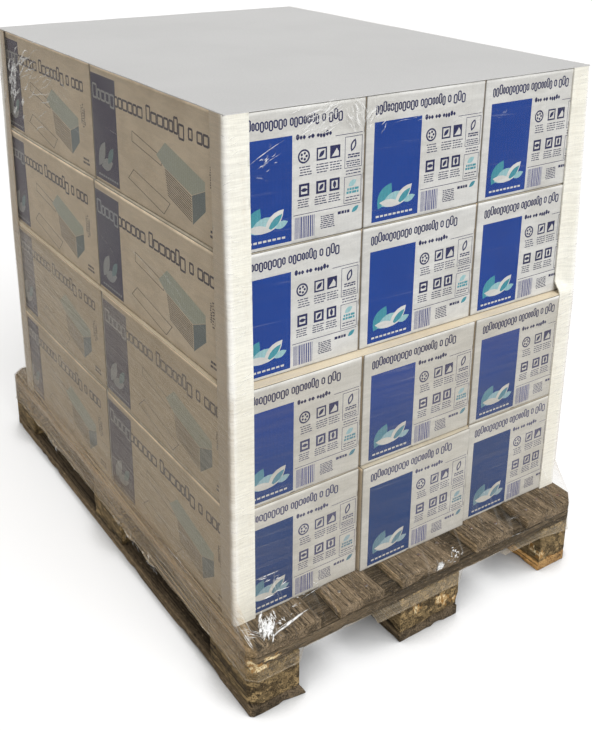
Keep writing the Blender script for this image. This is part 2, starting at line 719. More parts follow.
class CartonBody:
    """The shape of one carton: creased edges, and outer panels that swell a little and have a
    rim that the flaps push out."""

    def __init__(self, size, outer, inset, seed):
        self.half = Vector((size.x / 2, size.y / 2, size.z / 2))
        self.random = random.Random(seed)
        self.offset = Vector([self.random.uniform(-50, 50) for _ in range(3)])
        self.inset = {side: inset if side in ("left", "right") else 0.0 for side in outer}
        self.swell = {side: self.random.uniform(0.4, 1.5) * MM for side in outer}
        self.rim = {side: self.random.uniform(1.2, 2.2) * MM for side in outer}
        self.outer = outer

    def moved(self, point):
        """Where a point of the sharp box goes."""
        half = self.half
        core = Vector([min(max(p, -h + CREASE), h - CREASE) for p, h in zip(point, half)])
        out = point - core
        place = core + out.normalized() * CREASE if out.length > 0 else point.copy()
        level = smooth(point.z, half.z - 16 * MM, half.z - 5 * MM)
        ripple = 0.35 * MM * wander(*(point * 14 + self.offset))
        for side in self.outer:
            axis, sign = SIDES[side]
            other = 1 - axis
            outward = sign * point[axis]
            a, z = point[other] / half[other], point.z / half.z
            near = smooth(outward, half[axis] - 12 * MM, half[axis])
            back = self.inset[side] * max(outward / half[axis], 0)
            belly = self.swell[side] * (1 - a * a) * (1 - z * z)
            waves = ripple * (1 - z ** 4) * (1 - a ** 4)
            rim = self.rim[side] * level
            rim *= 1 - 0.35 * abs(wander(point[other] * 22, self.offset.x))
            rim *= 1 - 0.8 * smooth(abs(point[other]), half[other] - 50 * MM, half[other] - 20 * MM)
            place[axis] += sign * (near * (belly + waves + rim) - back)
        wobble = 0.25 * MM * wander(point.x * 6 + self.offset.y, point.y * 6, point.z * 6)
        return place + Vector((wobble, wobble, 0))


def make_carton(layer, row, column, arts, materials):
    name = f"carton_{layer}_{row}_{column}"
    low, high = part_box(name)
    middle, size = (low + high) / 2, high - low
    # A tuple and no set, so that the draws for each side come in the same order each run
    outer = (row,) if column == "middle" else (row, column)
    body = CartonBody(size, outer, LAYER_INSET[layer], name)
    shift = [body.random.uniform(-0.5, 0.5) for _ in range(2)]
    shift = Vector((*shift, 0)) * MM
    work = bmesh.new()
    panel_layer = work.verts.layers.float_vector.new("panel")
    wear_layer, rim_layer = float_layers(work, "wear", "rim")
    for side, (corner, along, up, width, height) in panel_frames(body.half).items():
        corner, along, up = Vector(corner), Vector(along), Vector(up)
        on_side = side in ("left", "right")
        upright = side not in ("top", "bottom")
        bare = "flap_liner" if side == "top" else "liner" if side in ROWS else "side_liner"
        art = arts["side" if on_side else "end"] if side in outer else None
        points, faces, inks = panel_of(art, width, height)
        verts = []
        for point in points:
            sharp = corner + along * point.x + up * point.y
            vert = work.verts.new(body.moved(sharp) + middle + shift)
            vert[panel_layer] = (point.x, point.y, 0.0)
            below_top = height - point.y
            worn_top = below_top * (2.6 if upright else 1.0)
            edge = min(point.x, point.y, width - point.x, worn_top)
            vert[wear_layer] = math.exp(-edge / (5 * MM))
            if upright:
                rise = smooth(below_top, 0.4 * MM, 1.6 * MM)
                vert[rim_layer] = rise * fall(below_top, 3.6 * MM, RIM)
            verts.append(vert)
        for corners, ink in zip(faces, inks):
            try:
                face = work.faces.new([verts[i] for i in corners])
            except ValueError:
                continue
            face.material_index = SURFACES.index(bare if ink == "liner" else ink)
    bmesh.ops.remove_doubles(work, verts=work.verts, dist=0.02 * MM)
    make_piece(name + "_box", work, materials, "carton_board", name)


def make_cartons():
    arts = {"end": end_art(), "side": side_art()}
    materials = [liner_finish(*liner) for liner in LINERS.values()]
    materials += [ink_finish("ink_" + name, *colours) for name, colours in INKS.items()]
    for layer in LAYERS:
        for row in ROWS:
            for column in COLUMNS:
                make_carton(layer, row, column, arts, materials)


# Sheets

SHEET_STEP = 14 * MM


def make_sheet(node, material, sag, ragged, proud=0.0):
    """A thin sheet that follows a flat node, its edge a little wavy and worn, and proud of the
    node except at its corners."""
    low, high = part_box(node)
    middle = (low + high) / 2
    across = spread(low.x, high.x, int((high.x - low.x) / SHEET_STEP))
    along = spread(low.y, high.y, int((high.y - low.y) / SHEET_STEP))
    work = bmesh.new()

    def vert_at(x, y, z):
        edges = min(x - low.x, high.x - x), min(y - low.y, high.y - y)
        near = fall(min(edges), 0, 30 * MM)
        place = Vector((x, y, z))
        place.x += ragged * near * wander(y * 18, z * 90, 4)
        place.y += ragged * near * wander(x * 18, z * 90, 9)
        out = smooth(max(edges), 36 * MM, 52 * MM) * fall(min(edges), 0, 12 * MM)
        axis = 1 if edges[1] < edges[0] else 0
        place[axis] += math.copysign(proud, (x, y)[axis] - middle[axis]) * out
        place.z += sag * near * wander(x * 9, y * 9, 2)
        return work.verts.new(place)

    lower, upper = ([[vert_at(x, y, z) for x in across] for y in along] for z in (low.z, high.z))
    bridge(work, upper, ring=False)
    bridge(work, lower[::-1], ring=False)
    rows, columns = len(along), len(across)
    rim = [(0, i) for i in range(columns)] + [(j, columns - 1) for j in range(1, rows)]
    rim += [(rows - 1, i) for i in range(columns - 2, -1, -1)]
    rim += [(j, 0) for j in range(rows - 2, 0, -1)]
    bridge(work, [[sheet[j][i] for j, i in rim] for sheet in (lower, upper)])
    make_piece(node + "_paper", work, [material], node, node, rounded=False)


def make_sheets():
    kraft = paper_finish("kraft_paper", (0.80, 0.70, 0.53), (0.74, 0.63, 0.46))
    grey = paper_finish("grey_paper", (0.625, 0.625, 0.625), (0.60, 0.60, 0.60))
    make_sheet("layer_sheet", kraft, 0.5 * MM, 0.8 * MM, 1.8 * MM)
    make_sheet("top_sheet", grey, 0.6 * MM, 0.6 * MM)


# Pallet

# Fresh breaks in the wood: middle and reach along each axis, in millimetres
FRESH_BREAKS = (
    ((-389.0, -596.0, 100.0), (19, 19, 14)),
    ((-377.0, -600.0, 101.0), (18, 12, 12)),
    ((-396.0, -590.0, 108.0), (10, 16, 9)),
    ((-364.0, -599.0, 108.0), (18, 10, 7)),
    ((-348.0, -599.5, 113.0), (22, 10, 3)),
    ((300.0, -578.0, 47.0), (10, 12, 12)),
    ((303.0, -596.0, 39.0), (16, 12, 12)),
    ((38.9, -599.4, 50.0), (9, 10, 18)),
    ((23.0, -599.7, 56.0), (9, 10, 16)),
    ((-32.6, -599.0, 60.0), (8, 10, 20)),
    ((62.0, -599.0, 44.0), (10, 10, 9)),
)

# How far the sun has bleached the long sides' faces
BLEACHED = {"deck": 0.75, "stringer": 1.0, "block": 0.0, "bottom": 0.50}

# The cut corners, and the near left one, which is cut off less and the bottom board there least
CORNER_CUT = 25 * MM
NEAR_CORNER_CUT = 15 * MM
BOTTOM_CORNER_CUT = 6 * MM
DECK_NUMBERS = range(1, 6)


def freshness(place, spot, reach):
    """1 in the middle of a break in the wood, 0 beyond its reach."""
    distance = Vector([(p - s * MM) / (r * MM) for p, s, r in zip(place, spot, reach)]).length
    return fall(distance, 0.45, 1.0)


def sharpen_corner(work, cut):
    """Brings the cut at the pallet's near left corner out to a smaller one."""
    side, end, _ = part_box("stringer_front")[0]
    for vert in work.verts:
        from_side, from_end = vert.co.x - side, vert.co.y - end
        if from_side < 3 * MM and abs(from_end - CORNER_CUT) < 3 * MM:
            vert.co.y -= CORNER_CUT - cut
        elif from_end < 3 * MM and abs(from_side - CORNER_CUT) < 3 * MM:
            vert.co.x -= CORNER_CUT - cut


def make_timber(name, axis, material, step_along=18 * MM, step_across=11 * MM):
    """Roughens a sawn board or block of the frame: worn arrises, chips and a little warp. Its
    grain runs along axis."""
    kind = name.split("_")[0]
    chance = random.Random(name)
    offset = Vector([chance.uniform(-20, 20) for _ in range(3)])
    work = welded_node(name)
    bmesh.ops.dissolve_limit(work, angle_limit=0.02, verts=work.verts, edges=work.edges)
    sharpen_corner(work, BOTTOM_CORNER_CUT if kind == "bottom" else NEAR_CORNER_CUT)
    sharp = [edge for edge in work.edges if edge.calc_face_angle(0) > 1.0]
    bevel = {"offset": 1.8 * MM, "segments": 2, "profile": 0.5, "affect": "EDGES"}
    bmesh.ops.bevel(work, geom=sharp, **bevel)
    low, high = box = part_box(name)
    cut_up(work, box, [(k, step_along if k == axis else step_across) for k in range(3)])
    grain_layer = work.verts.layers.float_vector.new("grain")
    fresh_layer, bleached_layer = float_layers(work, "fresh", "bleached")
    centre, half = (low + high) / 2, (high - low) / 2
    first, second = (k for k in range(3) if k != axis)
    for vert in work.verts:
        place, normal = vert.co.copy(), vert.normal
        local = place - centre
        fresh = max(freshness(place, spot, reach) for spot, reach in FRESH_BREAKS)
        vert[grain_layer] = Vector((local[axis], local[first], local[second])) + offset
        vert[fresh_layer] = fresh
        vert[bleached_layer] = BLEACHED[kind] * smooth(-normal.x, 0.5, 0.9)
        depths = sorted(half[k] - abs(local[k]) for k in range(3))
        arris = fall(depths[1], 1 * MM, 9 * MM)
        bite = smooth(wander(*(place * 38 + offset)), 0.18, 0.55) * 3.2 * MM
        end = fall(half[axis] - abs(local[axis]), 0, 12 * MM)
        torn = end * 1.1 * MM * (wander(place[first] * 120, place[second] * 120, offset.x) - 0.4)
        inward = -normal * arris * (bite + 0.5 * MM * abs(wander(*(place * 90))))
        inward[axis] += math.copysign(1, local[axis]) * min(torn, 0)
        inward -= normal * fresh * 4 * MM * abs(wander(*(place * 160)))
        rough = normal * 0.35 * MM * (wander(*(place * 45 + offset)) - 0.5)
        vert.co += inward + rough
        if name == "bottom_board_left":
            # Its near end has split and stands out beyond the block
            split = smooth(place.x, -0.320, -0.302) * fall(place.y, -0.600, -0.525)
            vert.co += Vector((12, -4, 0)) * MM * split * fall(place.z, 0, 24 * MM)
    slot = "block_wood" if kind == "block" else "deck_wood"
    make_piece(name + "_wood", work, [material], slot, name)


def make_nails(material):
    """Nail heads on the deck's two bare ledges."""
    work = bmesh.new()
    chance = random.Random(11)
    ledges = ((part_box("stringer_front")[0].y, 1), (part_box("stringer_back")[1].y, -1))
    for number in DECK_NUMBERS:
        low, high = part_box(f"deck_board_{number}")
        wide = high.x - low.x > 0.12
        for outer, inward in ledges:
            for x in spread(low.x + 24 * MM, high.x - 24 * MM, 3 if wide else 2):
                y = outer + inward * chance.uniform(26, 48) * MM
                x += chance.uniform(-5, 5) * MM
                place = Matrix.Translation((x, y, high.z - 0.2 * MM))
                tilt = Matrix.Rotation(chance.uniform(-0.12, 0.12), 4, "X")
                head = {"radius1": 4.6 * MM, "radius2": 3.2 * MM, "depth": 1.4 * MM}
                head |= {"cap_ends": True, "segments": 14, "matrix": place @ tilt}
                bmesh.ops.create_cone(work, **head)
    make_piece("nail_heads", work, [material], "deck_wood", rounded=False)


def make_pallet():
    deck, under, block, sawn = (wood_finish(*look) for look in (
        ("deck_timber", (0.265, 0.195, 0.122), (0.136, 0.098, 0.058), (0.038, 0.025, 0.014)),
        ("stringer_timber", (0.145, 0.106, 0.065), (0.068, 0.049, 0.029), (0.021, 0.014, 0.008)),
        ("block_timber", (0.235, 0.165, 0.078), (0.078, 0.052, 0.024), (0.018, 0.012, 0.005), 0.85),
        ("new_timber", (0.52, 0.32, 0.13), (0.36, 0.20, 0.075), (0.10, 0.05, 0.02)),
    ))
    for number in DECK_NUMBERS:
        make_timber(f"deck_board_{number}", 1, deck)
    for row in ("front", "middle", "back"):
        make_timber(f"stringer_{row}", 0, under)
        for column in COLUMNS:
            make_timber(f"block_{row}_{column}", 1, block, 9 * MM, 9 * MM)
    for column in COLUMNS:
        make_timber(f"bottom_board_{column}", 1, sawn if column == "right" else under)
    make_nails(nail_finish())


# Corner boards

BOARD_LEG = 35 * MM
BOARD_CUTS = ((2, 7 * MM), (0, 6 * MM), (1, 6 * MM))


def make_corner_board(name, material):
    """An angle of board with a few dents along its corner and edges that the film has pressed."""
    work = welded_node(name)
    for up in (1, -1):
        caps = [face for face in work.faces if up * face.normal.z > 0.9]
        bmesh.ops.dissolve_faces(work, faces=caps)
    low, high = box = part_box(name)
    cut_up(work, box, BOARD_CUTS)
    long_layer, worn_layer, bend_layer = float_layers(work, "long_leg", "worn", "bend")
    sx, sy = math.copysign(1, low.x + high.x), math.copysign(1, low.y + high.y)
    corner_x, corner_y = high.x if sx > 0 else low.x, high.y if sy > 0 else low.y
    seed = 7 * sx + 3 * sy
    upper_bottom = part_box("layer_sheet")[1].z
    set_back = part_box("carton_3_near_left")[0].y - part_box("carton_1_near_left")[0].y
    for vert in work.verts:
        x, y, z = vert.co
        end_part = abs(x - corner_x)
        long_part = abs(y - corner_y) - 16 * MM * smooth(z, 0.56, 1.04)
        vert[long_layer] = smooth(long_part - end_part, 0, 5 * MM)
        vert[bend_layer] = fall(max(end_part - 2 * MM, long_part), 2 * MM, 13 * MM)
        tip = min(abs(max(end_part, long_part) - BOARD_LEG), z - low.z, high.z - z)
        vert[worn_layer] = 0.6 * math.exp(-tip / (2.2 * MM)) * abs(wander(z * 60, seed))
        dent = 0.5 * MM * max(wander(z * 16, seed), 0)
        dent += 0.22 * MM * abs(wander(x * 60, y * 60, z * 170))
        vert.co -= vert.normal * dent * smooth(z, low.z, low.z + 10 * MM)
        if sy < 0 < sx and z > upper_bottom:
            # Over the upper cartons the near right board's free edge is drawn in to them
            gap = 0.94 * set_back * (high.z - z) / (high.z - upper_bottom)
            pulled = smooth(z, upper_bottom + 1 * MM, upper_bottom + 26 * MM)
            vert.co.y += gap * pulled * smooth(end_part, 7 * MM, 33 * MM)
    piece = make_piece(name + "_angle", work, [material], "corner_board", name)
    piece.data.set_sharp_from_angle(angle=math.radians(38))


def make_corner_boards():
    material = board_finish()
    for name in sorted(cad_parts):
        if name.startswith("corner_board"):
            make_corner_board(name, material)


# Stretch film

FILM_OFF = 0.9 * MM
BOARD_GAUGE = 3.3 * MM
FILM_HEM = 76 * MM
FILM_ABOVE_TOP = 1.5 * MM
SLANT_HEIGHT = 56 * MM
CORNER_BEND = 7 * MM
ARCH_TOP = 103 * MM
SIDE_HEM_RISE = 3 * MM
BARE_WOOD = (0.15, 0.21)
END_STEPS = 92
SIDE_STEPS = 132
CORNER_STEPS = 7
HEM_SIDES = 7

# Tatters in the hem along the near left side: place, reach and drop
TATTERS = (
    (0.411, 0.018, 0.004), (0.301, 0.016, 0.008), (0.177, 0.014, 0.003), (-0.119, 0.016, 0.008),
    (-0.212, 0.020, 0.009), (-0.439, 0.016, 0.003), (-0.060, 0.012, 0.004), (0.335, 0.012, 0.006),
)

# Places where the film is bunched: middle, reach and strength
BUNCHES = (
    (Vector((-0.356, -0.580, 0.162)), 0.020, 0.90),
    (Vector((-0.385, -0.577, 0.160)), 0.018, 0.30),
    (Vector((0.020, -0.602, 0.136)), 0.011, 0.80),
    (Vector((0.060, -0.601, 0.141)), 0.014, 0.35),
    (Vector((-0.205, -0.520, 1.036)), 0.034, 0.60),
    (Vector((-0.150, -0.520, 1.005)), 0.036, 0.50),
    (Vector((0.160, -0.520, 1.000)), 0.030, 0.35),
    (Vector((-0.320, -0.520, 0.958)), 0.026, 0.45),
    (Vector((-0.322, -0.536, 0.210)), 0.022, 0.22),
    (Vector((-0.400, 0.305, 0.075)), 0.016, 0.90),
    (Vector((-0.400, -0.120, 0.075)), 0.014, 0.90),
    (Vector((-0.400, -0.210, 0.075)), 0.018, 0.90),
    (Vector((-0.388, 0.400, 0.940)), 0.065, 1.00),
    (Vector((-0.388, 0.340, 0.985)), 0.050, 0.40),
    (Vector((-0.112, -0.520, 1.012)), 0.018, 0.55),
)

# Groups of creases: middle, reach, main direction, turn to either side, length, width and count
CREASE_GROUPS = (
    ((-0.356, -0.580, 0.162), 0.012, (-0.53, -0.64, -0.55), 0.10, 0.030, 0.0066, 34),
    ((-0.340, -0.570, 0.171), 0.008, (-0.30, 0.60, 0.60), 0.30, 0.016, 0.0034, 8),
    ((-0.326, -0.581, 0.161), 0.005, (0.40, -0.60, -0.55), 0.30, 0.009, 0.0040, 5),
    ((-0.300, -0.572, 0.169), 0.014, (0.97, 0.05, 0.05), 0.12, 0.007, 0.0018, 7),
    ((-0.276, -0.562, 0.177), 0.014, (0.97, 0.05, 0.05), 0.20, 0.006, 0.0016, 6),
    ((-0.240, -0.556, 0.182), 0.018, (0.97, 0.05, 0.05), 0.30, 0.005, 0.0016, 6),
    ((-0.385, -0.577, 0.158), 0.012, (0.72, -0.69, -0.08), 0.08, 0.024, 0.0010, 12),
    ((-0.398, -0.560, 0.160), 0.018, (0.05, -0.85, -0.45), 0.10, 0.060, 0.0011, 8),
    ((-0.398, -0.300, 0.160), 0.120, (0.0, -0.98, 0.02), 0.05, 0.110, 0.0011, 16),
    ((-0.398, 0.150, 0.150), 0.220, (0.0, -0.98, 0.02), 0.05, 0.110, 0.0011, 14),
    ((0.020, -0.603, 0.136), 0.006, (0.8, 0.2, 0.4), 0.30, 0.015, 0.0080, 26),
    ((0.060, -0.602, 0.141), 0.014, (0.9, 0.1, 0.2), 0.40, 0.009, 0.0030, 18),
    ((0.230, -0.582, 0.162), 0.060, (0.97, 0.05, 0.05), 0.10, 0.018, 0.0010, 6),
    ((-0.318, -0.537, 0.208), 0.016, (0.95, 0.0, 0.20), 0.20, 0.010, 0.0015, 16),
    ((-0.230, -0.523, 1.010), 0.026, (0.90, 0.0, 0.40), 0.22, 0.050, 0.0026, 12),
    ((-0.200, -0.523, 1.025), 0.020, (0.85, 0.0, 0.50), 0.22, 0.040, 0.0026, 14),
    ((-0.150, -0.523, 1.012), 0.024, (0.50, 0.0, -0.80), 0.22, 0.038, 0.0022, 22),
    ((-0.120, -0.523, 1.000), 0.020, (0.55, 0.0, 0.60), 0.22, 0.024, 0.0018, 14),
    ((-0.322, -0.525, 0.956), 0.014, (0.85, 0.0, 0.45), 0.20, 0.012, 0.0019, 14),
    ((0.100, -0.524, 0.985), 0.030, (0.90, 0.0, 0.30), 0.22, 0.030, 0.0011, 8),
    ((-0.040, -0.523, 1.012), 0.040, (0.96, 0.0, 0.10), 0.22, 0.040, 0.0011, 8),
    ((-0.389, 0.405, 0.955), 0.040, (0.0, 0.25, -0.95), 0.40, 0.040, 0.0150, 16),
    ((-0.389, 0.385, 0.900), 0.040, (0.0, 0.5, -0.8), 0.40, 0.034, 0.0100, 14),
    ((-0.389, 0.330, 0.985), 0.040, (0.0, 0.9, -0.4), 0.30, 0.060, 0.0060, 14),
    ((-0.389, 0.250, 0.960), 0.080, (0.0, 0.9, -0.35), 0.22, 0.080, 0.0030, 18),
    ((-0.115, -0.523, 1.014), 0.010, (0.60, 0.0, 0.75), 0.15, 0.030, 0.0030, 9),
    ((-0.389, 0.120, 0.960), 0.060, (0.0, 0.9, 0.35), 0.22, 0.070, 0.0011, 10),
    ((-0.389, -0.300, 0.760), 0.200, (0.0, 0.95, 0.25), 0.22, 0.090, 0.0008, 16),
    ((0.0, 0.55, 0.165), 0.300, (0.15, 0.9, -0.4), 0.22, 0.060, 0.0016, 34),
    ((0.2, 0.505, 0.85), 0.250, (0.95, 0.0, 0.25), 0.22, 0.070, 0.0010, 22),
    ((0.394, 0.0, 0.30), 0.450, (0.0, 0.95, 0.25), 0.22, 0.070, 0.0010, 30),
    ((0.394, 0.45, 0.90), 0.120, (0.0, 0.8, 0.5), 0.22, 0.050, 0.0014, 14),
)

# Single long creases: two ends and a width
LONG_CREASES = (
    ((-0.3644, -0.5970, 0.1477), (-0.2657, -0.5815, 0.1608), 0.0050),
    ((-0.3573, -0.5940, 0.1503), (-0.2795, -0.5831, 0.1598), 0.0042),
    ((-0.3433, -0.5891, 0.1545), (-0.3081, -0.5853, 0.1579), 0.0014),
    ((-0.2800, -0.5681, 0.1730), (-0.2102, -0.5604, 0.1790), 0.0009),
    ((-0.3560, -0.5357, 0.2253), (-0.2988, -0.5359, 0.2253), 0.0034),
    ((-0.3480, -0.5358, 0.2238), (-0.3257, -0.5359, 0.2203), 0.0028),
    ((-0.3320, -0.5362, 0.2128), (-0.3196, -0.5361, 0.2135), 0.0032),
    ((-0.3116, -0.5364, 0.2102), (-0.2968, -0.5360, 0.2075), 0.0032),
    ((-0.3211, -0.5449, 0.1928), (-0.2852, -0.5472, 0.1908), 0.0024),
    ((-0.3457, -0.5482, 0.1895), (-0.3174, -0.5487, 0.1895), 0.0024),
    ((-0.3045, -0.5415, 0.1956), (-0.2858, -0.5386, 0.1980), 0.0024),
    ((-0.3978, -0.5143, 0.1751), (-0.3971, -0.5601, 0.1657), 0.0026),
    ((-0.3971, -0.5601, 0.1657), (-0.3863, -0.5908, 0.1392), 0.0036),
    ((-0.3983, -0.5219, 0.1702), (-0.3965, -0.5688, 0.1572), 0.0012),
    ((-0.3965, -0.5688, 0.1572), (-0.3851, -0.5920, 0.1333), 0.0016),
    ((-0.354, -0.525, 0.958), (-0.285, -0.524, 0.991), 0.0020),
    ((-0.340, -0.525, 0.950), (-0.290, -0.525, 0.972), 0.0014),
    ((-0.259, -0.524, 1.003), (-0.207, -0.523, 1.015), 0.0012),
    ((-0.215, -0.523, 1.016), (-0.182, -0.523, 1.036), 0.0022),
)


def carton_names(layers, columns):
    return [f"carton_{n}_{row}_{column}" for n in layers for row in ROWS for column in columns]


def footprint(*nodes):
    """Left, right, front and back of some nodes together."""
    lows, highs = zip(*(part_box(node) for node in nodes))
    left, front = (min(low[axis] for low in lows) for axis in (0, 1))
    right, back = (max(high[axis] for high in highs) for axis in (0, 1))
    return left, right, front, back


def film_loop(foot, off, cut, rounded=False):
    """Points round the film at one height, so far off a footprint, from the near left corner
    along the near end. The near left corner's cut may differ from the others'."""
    left, right, front, back = foot
    left, right, front, back = left - off, right + off, front - off, back + off
    near_cut = cut if rounded else NEAR_CORNER_CUT
    corners = ((left, front, -1, -1, near_cut), (right, front, 1, -1, cut))
    corners += ((right, back, 1, 1, cut), (left, back, -1, 1, cut))

    def inside(corner, along_x, along_y):
        x, y, out_x, out_y, cut_here = corner
        return Vector((x - along_x * out_x * cut_here, y - along_y * out_y * cut_here))

    points = []
    for k, steps in enumerate((END_STEPS, SIDE_STEPS) * 2):
        start, end = corners[k], corners[k - 3]
        along = (1, 0) if k % 2 == 0 else (0, 1)
        a, b = inside(start, *along), inside(end, *along)
        c, centre = inside(end, *along[::-1]), inside(end, 1, 1)
        points += [a.lerp(b, i / steps) for i in range(steps)]
        for i in range(CORNER_STEPS):
            t = i / CORNER_STEPS
            turn = t * math.pi / 2
            arc = centre + (b - centre) * math.cos(turn) + (c - centre) * math.sin(turn)
            points.append(arc if rounded else b.lerp(c, t))
    return points


def fork_arch(x, openings):
    """0 where the hem hangs over a block, 1 over a fork opening. A flap of film reaches in from
    the next block."""
    rise = 0.0
    for low, high, flap, lift in openings:
        start, tip = smooth(x, low - 4 * MM, low + 6 * MM), high - flap
        over = start * fall(x, tip - 16 * MM, tip)
        held = lift * start * fall(x, high - 20 * MM, high + 90 * MM)
        rise = max(rise, over, held)
    return rise


def side_hem(y):
    """How far the hem along a long side stands over the hem at the ends."""
    rise = SIDE_HEM_RISE * smooth(abs(abs(y) - 0.6), 0.05, 0.20)
    drop = max(depth * bell(y - place, reach) for place, reach, depth in TATTERS)
    return rise - drop * (0.6 + 0.8 * abs(wander(y * 160, 3.0)))


def film_haze(place, is_end):
    """The film's haze: more turns round the lower layers, least over the bare wood."""
    low = fall(place.z, 0.575, 0.600)
    bare = fall(place.z, *BARE_WOOD)
    if is_end:
        skirt = fall(place.z, 0.096, 0.106) * (0.5 + 0.5 * smooth(place.x, -0.31, -0.28))
        return lerp(0.015 + 0.05 * low, 0.03 + 0.22 * skirt, bare)
    back = smooth(place.y, -0.2, 0.5)
    near = smooth(-place.y, 0.54, 0.60)
    over_wood = 0.38 - 0.22 * near if place.x < 0 else 0.04
    return lerp(0.05 + 0.05 * back + 0.17 * low, over_wood, bare)


def film_rows():
    """The film's rows of points from its hem upwards: height, loop, and how far the near middle
    cartons, which stand forward, push it out."""
    deck_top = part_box("deck_board_1")[1].z
    pallet = footprint("stringer_front", "stringer_back")
    lower, upper = carton_names((1, 2), ("left", "right")), carton_names((3, 4), COLUMNS)
    on_board = FILM_OFF + BOARD_GAUGE
    on_pallet = film_loop(pallet, FILM_OFF, CORNER_CUT)
    on_waist = film_loop(footprint(*lower, *upper), on_board, CORNER_BEND, True)
    on_upper = film_loop(footprint(*upper), on_board, CORNER_BEND, True)
    # Height, loop, push, and the steps up to the next one
    stations = (
        (FILM_HEM, on_pallet, 0.0, 12),
        (deck_top, on_pallet, 0.0, 16),
        (deck_top + SLANT_HEIGHT, on_waist, 1.0, 18),
        (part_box("carton_1_near_left")[1].z, on_waist, 1.0, 22),
        (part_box("layer_sheet")[1].z, on_waist, 0.0, 48),
        (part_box("top_sheet")[1].z + FILM_ABOVE_TOP, on_upper, 0.0, 0),
    )
    rows = []
    for (low, inner, push, steps), (high, outer, next_push, _) in zip(stations, stations[1:]):
        for t in (step / steps for step in range(steps)):
            loop = [a.lerp(b, t) for a, b in zip(inner, outer)]
            rows.append((lerp(low, high, t), loop, lerp(push, next_push, t)))
    rows.append(stations[-1][:3])
    lengths = [0.0]
    for a, b in zip(on_waist, on_waist[1:]):
        lengths.append(lengths[-1] + (b - a).length)
    return rows, lengths, deck_top


def make_film():
    rows, lengths, deck_top = film_rows()
    forward_low, forward_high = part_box("carton_1_near_middle")
    push = footprint(*carton_names((1, 2), ("left", "right")))[2] - forward_low.y
    block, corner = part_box("block_front_middle"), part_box("block_front_right")
    openings = (
        (block[1].x, corner[0].x, 104 * MM, 0.45),
        (-corner[0].x, -block[1].x, 56 * MM, 0.0),
    )
    work = bmesh.new()
    wrap_layer = work.verts.layers.float_vector.new("wrap")
    names = ("haze", "crumple", "slope", "over_wood")
    haze_layer, crumple_layer, slope_layer, wood_layer = float_layers(work, *names)
    count = len(lengths)
    grid = []
    for z, loop, pushed in rows:
        line = []
        for i, (flat, around) in enumerate(zip(loop, lengths)):
            tangent = (loop[(i + 1) % count] - loop[i - 1]).normalized()
            outward = Vector((tangent.y, -tangent.x, 0.0))
            place = Vector((flat.x, flat.y, z))
            is_end = i % (count // 2) < END_STEPS + 1
            if z < deck_top:
                bottom = FILM_HEM + side_hem(flat.y)
                if is_end:
                    bottom = lerp(FILM_HEM, ARCH_TOP, fork_arch(flat.x, openings))
                place.z = lerp(bottom, deck_top, (z - FILM_HEM) / (deck_top - FILM_HEM))
            if flat.y < 0 and is_end:
                bulge = smooth(flat.x, forward_low.x - 60 * MM, forward_low.x)
                bulge *= fall(flat.x, forward_high.x, forward_high.x + 60 * MM)
                place.y -= push * pushed * bulge
            slope = smooth(place.z, 0.10, 0.16) * fall(place.z, 0.195, 0.235)
            fold = abs(wander(around * 34, place.z * 5, 1.0))
            fold += 0.6 * abs(wander(around * 80, place.z * 9, 3.0))
            hang = fall(place.z, FILM_HEM, 0.125)
            tight = 0.35 * MM * abs(wander(around * 5, place.z * 60, 7.0))
            place += outward * (slope * 0.7 * MM * fold + hang * 0.9 * MM * fold + tight)
            bunch = max(
                power * bell((place - spot).length, reach) for spot, reach, power in BUNCHES
            )
            place += outward * bunch * 3.2 * MM * abs(wander(around * 120, place.z * 70, 2.0))
            vert = work.verts.new(place)
            vert[wrap_layer] = (around, place.z + 0.05 * around, 0.0)
            vert[haze_layer] = film_haze(place, is_end)
            vert[crumple_layer] = bunch
            vert[slope_layer] = max(slope, 0.5 * hang)
            vert[wood_layer] = 0.0 if is_end or flat.x > 0 else fall(place.z, *BARE_WOOD)
            line.append(vert)
        grid.append(line)
    bridge(work, grid)
    hem = [vert.co.copy() for vert in grid[0]]
    work.normal_update()
    make_creases(BVHTree.FromBMesh(work))
    make_piece("film_wrap", work, [film_finish("stretch_film")], "film", "stretch_film")
    make_hem(hem, lengths)


